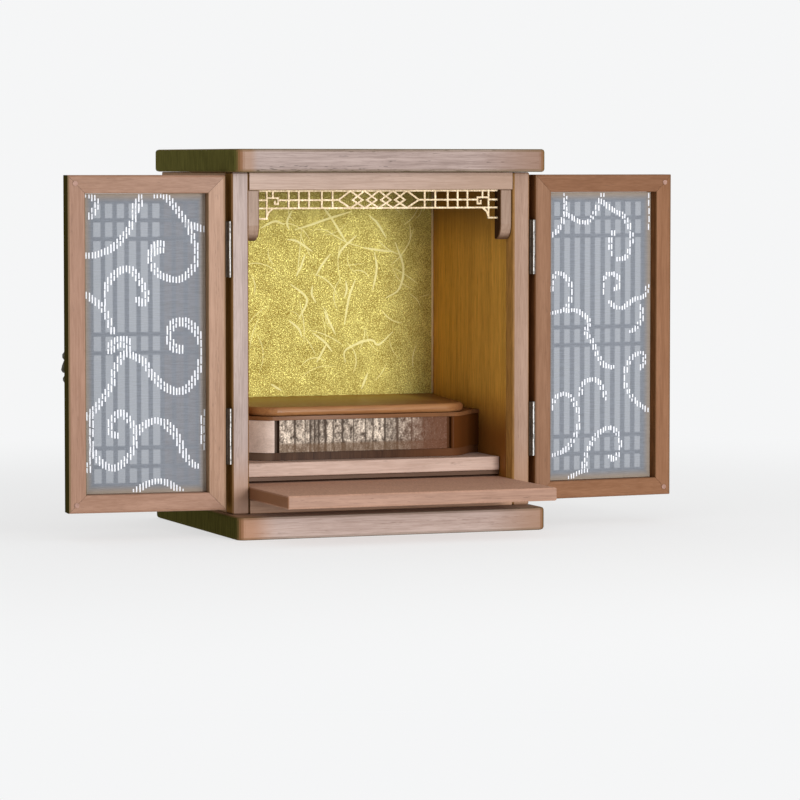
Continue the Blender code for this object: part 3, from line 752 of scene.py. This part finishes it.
def makeGoldFibres():
    chance = random.Random(fibres["seed"])
    low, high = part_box("gold_back_panel")
    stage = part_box("dais_top")[1].z
    shape = bmesh.new()
    face = low.y - fibres["gap"]
    lines = [([Vector(point) * mm for point in strand], 1.0) for strand in fibres["strands"]]
    for index in range(fibres["scattered"]):
        points = scatteredFibre(chance, low.x, high.x, stage, high.z)
        lines.append((points, chance.uniform(*fibres["weights"])))
    margin = fibres["margin"]
    for points, weight in lines:
        path = smoothPath(points, fibres["step"])
        line = [p for p in path if low.x + margin < p.x < high.x - margin]
        line = [p for p in line if stage + margin / 2 < p.y < high.z - margin]
        if len(line) > 3:
            addRibbon(shape, line, fibres["width"] * weight, face, face - fibres["lift"])
    addPiece("gold_fibres", shape, metalFinish("fibre gold", fibreGold), "cabinet", smooth=True)


# Slim beads that cover the paper's edges in the two back corners.
cornerBead = {
    "radius": 0.0013,
    "sunk": 0.6,
    "sides": 12,
    "gap": 0.0004,
    "bright": (1.0, 0.84, 0.52),
    "dull": (0.94, 0.72, 0.40),
}


def makeCornerBeads():
    low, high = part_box("gold_back_panel")
    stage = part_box("dais_top")[1].z
    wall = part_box("side_lining_right")[0].x
    radius = cornerBead["radius"]
    length = high.z - stage - 0.001
    shape = bmesh.new()
    for side in (-1, 1):
        size = {"segments": cornerBead["sides"], "radius1": radius, "radius2": radius, "depth": 1.0}
        rod = bmesh.ops.create_cone(shape, cap_ends=True, **size)["verts"]
        bmesh.ops.scale(shape, verts=rod, vec=(1, 1, length))
        depth = low.y - radius * cornerBead["sunk"]
        centre = (side * (wall - radius), depth, stage + length / 2 + cornerBead["gap"])
        bmesh.ops.translate(shape, verts=rod, vec=centre)
    finish = dict(fibreGold, bright=cornerBead["bright"], dull=cornerBead["dull"])
    addPiece("corner_beads", shape, metalFinish("bead gilt", finish), "cabinet", smooth=True)


# The dais front: crinkled silver leaf in pressed squares.
silverLeaf = {
    # Grooves between the squares: millimetres from the middle, half width, and how bright the
    # square to the right of it is.
    "grooves": (
        (-81, 1.3, 1.1),
        (-69, 0.6, 0.9),
        (-63, 1.2, 0.5),
        (-58, 0.9, 0.4),
        (-53, 1.2, 0.55),
        (-45, 1.7, 1.1),
        (-36, 0.6, 0.9),
        (-25, 1.4, 0.7),
        (-12, 0.7, 0.85),
        (2, 0.6, 0.65),
        (11, 0.8, 1.05),
        (25, 1.5, 0.5),
        (40, 1.6, 0.85),
        (57, 0.7, 0.75),
        (72, 0.8, 0.55),
    ),
    "firstTone": 1.1,
    "wander": 0.0006,
    "crease": (1.1, 290, 130),
    "crinkle": (0.9, 800, 600),
    "depth": 0.0009,
    "backing": 0.0006,
    "cell": 0.0009,
    "ledge": 0.0095,
    "hollow": (0.055, 0.035, 0.022),
    "foot": (0.135, 0.075, 0.037),
    # The end tone is a painted shade that the leaf fades into towards its right.
    "end": (0.12, 0.042, 0.016),
    "endFrom": 0.022,
    "endFull": 0.088,
    "bright": (0.88, 0.75, 0.61),
    "dull": (0.30, 0.235, 0.185),
    "grain": 620.0,
    "gloss": 0.42,
    "shine": 0.3,
    "metallic": 0.2,
    "relief": 0.0002,
}


def leafFinish(foot):
    material, tree, shader, place = startMaterial("silver leaf")
    values = picked(silverLeaf, "bright", "dull", "grain", "gloss")
    metal = useGroup(tree, mottledMetal, dict(values, Vector=place["Object"]))
    raised = addNode(tree, "ShaderNodeAttribute", attribute_name="raised").outputs["Fac"]
    edge = foot + silverLeaf["ledge"]
    # Below the ledge the leaf takes its foot tone, and towards its right it fades into painted shade.
    zones = (
        ("Z", edge + 0.002, edge - 0.002, silverLeaf["foot"], 0.75),
        ("X", silverLeaf["endFrom"], silverLeaf["endFull"], silverLeaf["end"], 0.95),
    )
    pressed = mixColours(tree, raised, silverLeaf["hollow"], metal["Color"])
    fill(shader, {
        "Base Color": addZones(tree, place, pressed, zones),
        "Roughness": metal["Roughness"],
        "Metallic": silverLeaf["metallic"],
        "Specular IOR Level": silverLeaf["shine"],
    })
    addBump(tree, shader, metal["Height"], silverLeaf["relief"])
    return arranged(material)


def leafHeight(x, z):
    # How far a place stands out of its groove, from 0 to 1, with the crinkles of the leaf.
    body = 0.70
    for (amount, across, up), layer in ((silverLeaf["crease"], 3.1), (silverLeaf["crinkle"], 7.7)):
        body += amount * noise.noise(Vector((x * across, z * up, layer)))
    raised = 1.0
    tone = silverLeaf["firstTone"]
    for groove, half, share in silverLeaf["grooves"]:
        if x > groove * mm:
            tone = share
        wander = silverLeaf["wander"] * noise.noise(Vector((z * 160, groove, 0.0)))
        away = abs(x - groove * mm + wander)
        raised = min(raised, max(0.0, (away / (half * mm) - 0.5) * 1.2))
    return max(0.0, min(1.0, raised * tone * body))


def makeSilverLeaf():
    low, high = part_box("dais_front_panel")
    width = high.x - low.x
    height = high.z - low.z
    columns = int(width / silverLeaf["cell"])
    rows = int(height / silverLeaf["cell"])
    points = []
    raised = []
    for row in range(rows + 1):
        for column in range(columns + 1):
            x = low.x + width * column / columns
            z = low.z + height * row / rows
            raised.append(leafHeight(x, z))
            ledge = 1.0 if z - low.z > silverLeaf["ledge"] else 0.3
            lift = silverLeaf["depth"] * (0.15 + 0.85 * raised[-1] * ledge)
            points.append((x, high.y - silverLeaf["backing"] - lift, z))
    shape = bmesh.new()
    layer = shape.verts.layers.float.new("raised")
    for vert, share in zip(addGrid(shape, columns, points), raised):
        vert[layer] = share
    leaf = addPiece("silver_leaf_squares", shape, leafFinish(low.z), "cabinet", smooth=True)
    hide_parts("dais_front_panel")


makeGoldFibres()
makeCornerBeads()
dress(metalFinish("gold paper", goldPaper), "gold_back_panel")
makeSilverLeaf()

paleGilt = {
    "bright": (0.70, 0.56, 0.38),
    "dull": (0.46, 0.34, 0.19),
    "grain": 480.0,
    "patches": 0.35,
    "gloss": 0.42,
    "shine": 0.5,
    "metallic": 0.25,
    "relief": 0.00008,
    "handled": 0.7,
}
# The hinges are dark, with a painted highlight down their barrels.
hingeSteel = dict(
    paleGilt,
    bright=(0.07, 0.05, 0.035),
    dull=(0.035, 0.025, 0.018),
    glint=(0.92, 0.90, 0.87),
    shine=0.05,
    metallic=0.0,
)
antiqueMetal = dict(paleGilt, bright=(0.12, 0.11, 0.08), dull=(0.035, 0.035, 0.03), metallic=0.9)
bumperMetal = dict(paleGilt, bright=(0.36, 0.20, 0.15), dull=(0.24, 0.125, 0.09), gloss=0.4, metallic=0.1)
dress(metalFinish("pale gilt", paleGilt), "ranma")
dress(metalFinish("hinge steel", hingeSteel), *[name for name in nodes if "_leaf_" in name])
dress(metalFinish("antique metal", antiqueMetal), *[f"{door}_pull" for door in doors])
dress(metalFinish("bumper metal", bumperMetal), *[name for name in nodes if "_bumper_" in name])
print("gold, silver and fittings made")

# Each door's frame, and single parts of it in a lighter or darker tone. The two frames are lit and
# shaded copies of one wood: the left one lighter as painted sheen, the right one darker as painted shade.
doorWood = {
    "door_left": dict(
        bareWood,
        light=(0.355, 0.205, 0.142),
        dark=(0.245, 0.130, 0.082),
        corner=(0.20, 0.13, 0.07),
        paintedlight=(0.036, 0.029, 0.007),
        handled=0.4,
    ),
    "door_right": dict(
        bareWood,
        light=(0.26, 0.128, 0.068),
        dark=(0.18, 0.080, 0.038),
        corner=(0.15, 0.075, 0.035),
        paintedlight=(0.150, 0.062, 0.023),
        handled=0.4,
    ),
}
doorParts = {
    "door_left_hinge_stile": {
        "light": (0.395, 0.236, 0.158),
        "dark": (0.27, 0.15, 0.091),
        "paintedlight": (0.235, 0.142, 0.080),
    },
    "door_left_top_rail": {"light": (0.335, 0.193, 0.130), "dark": (0.231, 0.122, 0.075)},
    "door_right_hinge_stile": {"light": (0.268, 0.144, 0.086), "dark": (0.186, 0.090, 0.048)},
    "door_right_top_rail": {"light": (0.235, 0.115, 0.063), "dark": (0.162, 0.072, 0.035)},
}
latticeWood = dict(
    bareWood,
    light=(0.24, 0.18, 0.145),
    dark=(0.15, 0.11, 0.085),
    pore=(0.02, 0.015, 0.01),
    sides=0.0,
)
for seed, door in ((30.0, "door_left"), (35.0, "door_right")):
    for step, part in enumerate(("free_stile", "hinge_stile", "top_rail", "bottom_rail")):
        finish = dict(doorWood[door], **doorParts.get(f"{door}_{part}", {}))
        dressWood(finish, "Z" if "stile" in part else "X", seed + step, f"{door}_{part}")
dressWood(latticeWood, "Z", 42.0, "door_left_lattice", "door_right_lattice")


class ClothPlane:
    # Turns metres across from the hinge edge and up from the foot into places on a door's cloth.
    def __init__(self, door):
        low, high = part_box(f"{door}_gauze")
        pin = [joint for joint in frame["joints"] if joint["child"] == door][0]["pos_m"]
        axis = Vector((pin[0], pin[1], 0.0))
        feet = {}
        for vert in nodes[f"{door}_gauze"].data.vertices:
            if vert.co.z < low.z + 0.0001:
                foot = Vector((vert.co.x, vert.co.y, 0.0))
                feet[(round(foot.x, 5), round(foot.y, 5))] = foot
        ordered = sorted(feet.values(), key=lambda foot: (foot - axis).length)
        hingeFoot = min(ordered[:2], key=lambda foot: foot.y)
        freeFoot = min(ordered[2:], key=lambda foot: foot.y)
        self.across = (freeFoot - hingeFoot).normalized()
        self.width = (freeFoot - hingeFoot).length
        self.height = high.z - low.z
        self.origin = Vector((hingeFoot.x, hingeFoot.y, low.z))
        self.out = Vector((self.across.y, -self.across.x, 0.0))
        if self.out.y > 0:
            self.out = -self.out

    def at(self, across, up, out=0.0):
        return self.origin + self.across * across + Vector((0, 0, up)) + self.out * out


gauzeCloth = {
    "thread": (0.235, 0.258, 0.295),
    "gap": (0.18, 0.20, 0.235),
    # A brownish band along the cloth's edges is painted shade of the door frame.
    "edgeShade": (0.37, 0.29, 0.215),
    "edgeShadeWidth": 0.010,
    "edgeShadeShare": 0.85,
    "pitch": 0.0011,
    "thinnest": 0.70,
    "thickest": 0.92,
    "roughness": 0.85,
    "sheen": 0.25,
    "relief": 0.0001,
    "sag": 0.00025,
    "waves": (30, 22),
    "lift": 0.0001,
    "cells": (44, 106),
}


def gauzeFinish(width, height):
    material, tree, shader, place = startMaterial("grey gauze")
    upright = {"Vector": place["Object"], "Rotation": (math.radians(-90), 0.0, 0.0)}
    turned = addNode(tree, "ShaderNodeMapping", upright).outputs["Vector"]
    values = picked(gauzeCloth, "pitch", "thread", "gap")
    weave = useGroup(tree, plainWeave, dict(values, Vector=turned))
    # Painted shade of the frame along the cloth's edges.
    band = gauzeCloth["edgeShadeWidth"]
    bands = {"Side Band": band / width, "End Band": band / height}
    edge = useGroup(tree, sheetEdge, dict(bands, Map=place["UV"]))
    edgeShade = product(tree, edge["Mask"], gauzeCloth["edgeShadeShare"])
    fill(shader, {
        "Base Color": mixColours(tree, edgeShade, weave["Color"], gauzeCloth["edgeShade"]),
        "Alpha": rangeFrom(tree, weave["Cover"], 0.0, 1.0, gauzeCloth["thinnest"], gauzeCloth["thickest"]),
        "Roughness": gauzeCloth["roughness"],
        "Sheen Weight": gauzeCloth["sheen"],
    })
    addBump(tree, shader, weave["Height"], gauzeCloth["relief"])
    return arranged(material)


def makeGauze(door, plane, material):
    columns, rows = gauzeCloth["cells"]
    waves = gauzeCloth["waves"]
    points = []
    for row in range(rows + 1):
        for column in range(columns + 1):
            across = plane.width * column / columns
            up = plane.height * row / rows
            slack = noise.noise(Vector((across * waves[0], up * waves[1], len(door)))) * gauzeCloth["sag"]
            points.append(plane.at(across, up, slack - gauzeCloth["lift"]))
    shape = bmesh.new()
    addGrid(shape, columns, points)
    maps = shape.loops.layers.uv.new("cloth")
    shares = {}
    for place, vert in enumerate(shape.verts):
        shares[vert] = (place % (columns + 1) / columns, place // (columns + 1) / rows)
    for face in shape.faces:
        for loop in face.loops:
            loop[maps].uv = shares[loop.vert]
    cloth = addPiece(f"{door}_cloth", shape, material, door, smooth=True)
    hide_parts(f"{door}_gauze")
    return cloth


# Scrolling vines in upright stitches. Points are millimetres across from the hinge edge and up
# from the foot of the cloth, and the first number is half the height of a stitch.
vines = {
    "door_left": (
        (2.8, ((131, 321), (124, 319), (119, 311), (123, 302), (127, 297))),
        (3.0, ((132, 256), (123, 256), (102, 264), (85, 282), (77, 300), (75, 308))),
        (5.2, ((79, 304), (74, 311), (69, 318))),
        (3.0, ((56, 320), (43, 318), (27, 299), (19, 287), (12, 269), (9, 255), (14, 241), (30, 229),
               (50, 234))),
        (3.0, ((50, 234), (58, 243), (61, 255), (58, 264))),
        (6.0, ((57, 261), (52, 265), (46, 264))),
        (3.2, ((20, 289), (13, 287), (5, 284), (-1, 283))),
        (3.2, ((110, 205), (110, 219), (99, 236), (83, 241), (70, 225), (65, 212), (69, 204), (74, 208))),
        (2.8, ((131, 214), (115, 202), (108, 190), (102, 174))),
        (5.5, ((105, 156), (98, 162), (89, 163), (83, 157))),
        (3.2, ((131, 82), (116, 98), (103, 118), (101, 131), (91, 149), (83, 149), (68, 141), (62, 130))),
        (3.6, ((62, 130), (47, 115), (34, 109), (22, 111), (10, 126), (5, 143))),
        (4.4, ((5, 143), (5, 160), (10, 173), (18, 181), (27, 184), (37, 180), (41, 169), (36, 157),
               (28, 154))),
        (3.0, ((97, 62), (104, 65), (106, 74), (94, 87), (80, 72), (77, 60), (84, 41), (101, 27),
               (119, 37), (128, 57))),
        (3.0, ((128, 57), (126, 70), (126, 86))),
        (3.0, ((126, 54), (127, 40), (129, 26))),
        (3.0, ((75, 65), (68, 73), (56, 78), (46, 75))),
        (4.4, ((46, 75), (36, 66), (30, 55), (24, 41))),
        (2.6, ((24, 41), (16, 31), (8, 27))),
        (2.8, ((78, 1), (70, 7), (57, 12), (45, 11), (36, 6), (27, 0))),
        (2.6, ((0, 87), (3, 77), (3, 57), (0, 47))),
    ),
    "door_right": (
        (3.0, ((22, 322), (24, 308), (18, 284), (7, 274))),
        (3.0, ((24, 299), (36, 292), (50, 288), (61, 298), (72, 321))),
        (3.2, ((72, 311), (84, 302), (98, 295), (108, 276), (106, 256), (98, 247), (89, 247))),
        (2.6, ((86, 278), (81, 265), (84, 252))),
        (2.8, ((131, 320), (130, 302), (131, 281))),
        (2.8, ((72, 209), (73, 223), (81, 231), (92, 226), (92, 216), (87, 213))),
        (2.8, ((7, 213), (9, 226), (17, 232), (30, 221), (31, 203), (23, 191), (6, 187))),
        (3.0, ((25, 189), (38, 190), (54, 178), (51, 166), (58, 155), (66, 138), (74, 128), (85, 125))),
        (2.8, ((81, 199), (88, 193), (98, 192), (112, 201), (126, 205), (130, 216))),
        (2.8, ((121, 194), (123, 181), (117, 171), (109, 165))),
        (2.8, ((120, 123), (126, 131), (122, 141), (109, 135), (101, 119), (101, 106), (112, 88),
               (131, 75))),
        (3.0, ((43, 95), (47, 107), (57, 112), (68, 108), (77, 90))),
        (3.0, ((6, 80), (14, 94), (29, 95), (42, 75), (40, 56), (30, 38), (16, 30), (5, 28))),
        (3.0, ((47, 14), (53, 32), (66, 50), (81, 57), (93, 48), (94, 31), (87, 21), (82, 24))),
        (3.2, ((30, 2), (43, 8), (53, 10), (52, 17))),
    ),
}
stitches = {
    "pitch": 0.0034,
    "width": 0.0016,
    "thick": 0.0004,
    "lift": 0.0001,
    "slope": 0.55,
    "margin": 0.0008,
    "shortest": 0.0012,
    "step": 0.0004,
    # How much taller a stitch is than its vine, how many columns it reaches aside, the longest
    # one, and how uneven the ends are.
    "door_left": (1.18, 0.78, 0.0115, 0.0009),
    "door_right": (0.95, 0.66, 0.0095, 0.0014),
}
whiteThread = {
    "bright": (0.95, 0.96, 1.0),
    "shade": (0.78, 0.80, 0.86),
    "twist": (2600.0, 2600.0, 300.0),
    "roughness": 0.5,
    "sheen": 0.4,
    "relief": 0.0001,
}


def stitchSpans(path, reach, spread):
    # For each upright column, the heights that the vine covers there.
    pitch = stitches["pitch"]
    spans = {}
    for point in path:
        middle = int(math.floor(point.x / pitch))
        for column in (middle - 1, middle, middle + 1):
            if abs((column + 0.5) * pitch - point.x) <= pitch * spread:
                spans.setdefault(column, []).append((point.y - reach, point.y + reach))
    merged = []
    for column, pieces in sorted(spans.items()):
        pieces.sort()
        low, high = pieces[0]
        for start, end in pieces[1:]:
            if start > high:
                merged.append((column, low, high))
                low = start
            high = max(high, end)
        merged.append((column, low, high))
    return merged


def addStitch(shape, plane, across, low, high):
    # A flat thread with sloping sides and ends.
    half = stitches["width"] / 2
    rings = []
    for out, inset in ((stitches["lift"], 0.0), (stitches["thick"], half * stitches["slope"])):
        a0, a1 = across - half + inset, across + half - inset
        h0, h1 = low + inset, high - inset
        corners = ((a0, h0), (a1, h0), (a1, h1), (a0, h1))
        rings.append([shape.verts.new(plane.at(a, h, out)) for a, h in corners])
    shape.faces.new(rings[0])
    shape.faces.new(rings[1])
    for index in range(4):
        after = (index + 1) % 4
        shape.faces.new((rings[0][index], rings[0][after], rings[1][after], rings[1][index]))


def makeScrolls(door, plane, material):
    chance = random.Random(len(door) * 7)
    shape = bmesh.new()
    fuller, spread, longest, ragged = stitches[door]
    margin = stitches["margin"]
    for reach, points in vines[door]:
        path = smoothPath([Vector(point) * mm for point in points], stitches["step"])
        for column, low, high in stitchSpans(path, reach * mm * fuller, spread):
            count = max(1, math.ceil((high - low) / longest))
            for part in range(count):
                bottom = low + (high - low) * part / count + chance.uniform(0.2, 1.0) * ragged
                top = low + (high - low) * (part + 1) / count - chance.uniform(0.2, 1.0) * ragged
                across = (column + 0.5) * stitches["pitch"] + chance.uniform(-0.3, 0.3) * ragged
                bottom = max(bottom, margin)
                top = min(top, plane.height - margin)
                if top - bottom > stitches["shortest"] and margin < across < plane.width - margin:
                    addStitch(shape, plane, across, bottom, top)
    scrolls = addPiece(f"{door}_scrolls", shape, material, door)
    return scrolls


def threadFinish():
    material, tree, shader, place = startMaterial("white thread")
    mask = rangeFrom(tree, stretchedNoise(tree, place["Object"], whiteThread["twist"], 2.0), 0.35, 0.65)
    fill(shader, {
        "Base Color": mixColours(tree, mask, whiteThread["bright"], whiteThread["shade"]),
        "Roughness": whiteThread["roughness"],
        "Sheen Weight": whiteThread["sheen"],
    })
    addBump(tree, shader, mask, whiteThread["relief"])
    return arranged(material)


planes = {door: ClothPlane(door) for door in doors}
gauze = gauzeFinish(planes["door_left"].width, planes["door_left"].height)
thread = threadFinish()
for door, plane in planes.items():
    cloth = makeGauze(door, plane, gauze)
    scrolls = makeScrolls(door, plane, thread)
print("doors and cloth made")

studio = {
    "paper": (0.38, 0.38, 0.378),
    "glow": 0.62,
    "shown": (0.915, 0.92, 0.925),
    "fadeFrom": 0.55,
    "fadeTo": 1.5,
    "floorHalf": 60.0,
    "worldLight": 0.70,
    "lampAzimuth": 11.0,
    "lampDistance": 3.2,
    "lampHeight": 0.45,
    "lampAim": (0.0, 0.0, 0.2),
    "lampSize": (0.7, 0.9),
    "lampPower": 70.0,
}
view = {"place": (-1.4773, -4.0602, 0.4051), "yaw": 20.762, "pitch": 3.520, "lens": 173.567}


# Close to the cabinet the floor is lit paper, and further out it glows evenly, so no horizon shows.
def floorFinish():
    material, tree, shader, place = startMaterial("floor paper")
    speck = noiseFrom(tree, place["Object"], 3.0, 2.0)
    dimmer = tuple(0.985 * part for part in studio["paper"])
    reach = addNode(tree, "ShaderNodeVectorMath", {0: place["Object"]}, operation="LENGTH").outputs["Value"]
    far = rangeFrom(tree, reach, studio["fadeFrom"], studio["fadeTo"])
    glow = tuple(studio["glow"] * part for part in studio["shown"])
    lit = mixColours(tree, speck, studio["paper"], dimmer)
    fill(shader, {
        "Base Color": mixColours(tree, far, lit, (0.0, 0.0, 0.0)),
        "Emission Color": mixColours(tree, far, glow, studio["shown"]),
        "Emission Strength": 1.0,
        "Roughness": 1.0,
        "Specular IOR Level": 0.0,
    })
    return arranged(material)


def makeWorld():
    # The camera sees an even backdrop, and the cabinet is lit by white.
    world = bpy.data.worlds.new("studio")
    bpy.context.scene.world = world
    world.use_nodes = True
    tree = world.node_tree
    seen = fill(tree.nodes["Background"], {"Color": studio["shown"], "Strength": 1.0})
    lit = addNode(tree, "ShaderNodeBackground", {"Color": (1.0, 1.0, 1.0), "Strength": studio["worldLight"]})
    path = addNode(tree, "ShaderNodeLightPath").outputs["Is Camera Ray"]
    both = {0: path, 1: lit.outputs["Background"], 2: seen.outputs["Background"]}
    choose = addNode(tree, "ShaderNodeMixShader", both)
    fill(tree.nodes["World Output"], {"Surface": choose.outputs["Shader"]})
    arranged(tree)


def addToScene(name, data):
    thing = bpy.data.objects.new(name, data)
    bpy.context.scene.collection.objects.link(thing)
    return thing


def makeFloor():
    shape = bmesh.new()
    bmesh.ops.create_grid(shape, x_segments=2, y_segments=2, size=studio["floorHalf"])
    mesh = bpy.data.meshes.new("floor")
    shape.to_mesh(mesh)
    shape.free()
    mesh.materials.append(floorFinish())
    addToScene("floor", mesh)


def makeSoftbox():
    lamp = bpy.data.lights.new("softbox", "AREA")
    lamp.shape = "RECTANGLE"
    lamp.size, lamp.size_y = studio["lampSize"]
    lamp.energy = studio["lampPower"]
    azimuth = math.radians(studio["lampAzimuth"])
    distance = studio["lampDistance"]
    softbox = addToScene("softbox", lamp)
    softbox.location = (math.sin(azimuth) * distance, -math.cos(azimuth) * distance, studio["lampHeight"])
    aim = Vector(studio["lampAim"]) - softbox.location
    softbox.rotation_euler = aim.to_track_quat("-Z", "Y").to_euler()


def makeCamera():
    lens = bpy.data.cameras.new("camera")
    lens.lens = view["lens"]
    lens.sensor_width = 36.0
    lens.clip_end = 200.0
    camera = addToScene("camera", lens)
    camera.location = view["place"]
    camera.rotation_euler = (math.radians(90.0 - view["pitch"]), 0.0, math.radians(-view["yaw"]))
    bpy.context.scene.camera = camera
    bpy.context.scene.view_settings.view_transform = "Standard"


makeFloor()
makeWorld()
makeSoftbox()
makeCamera()
print("studio ready")
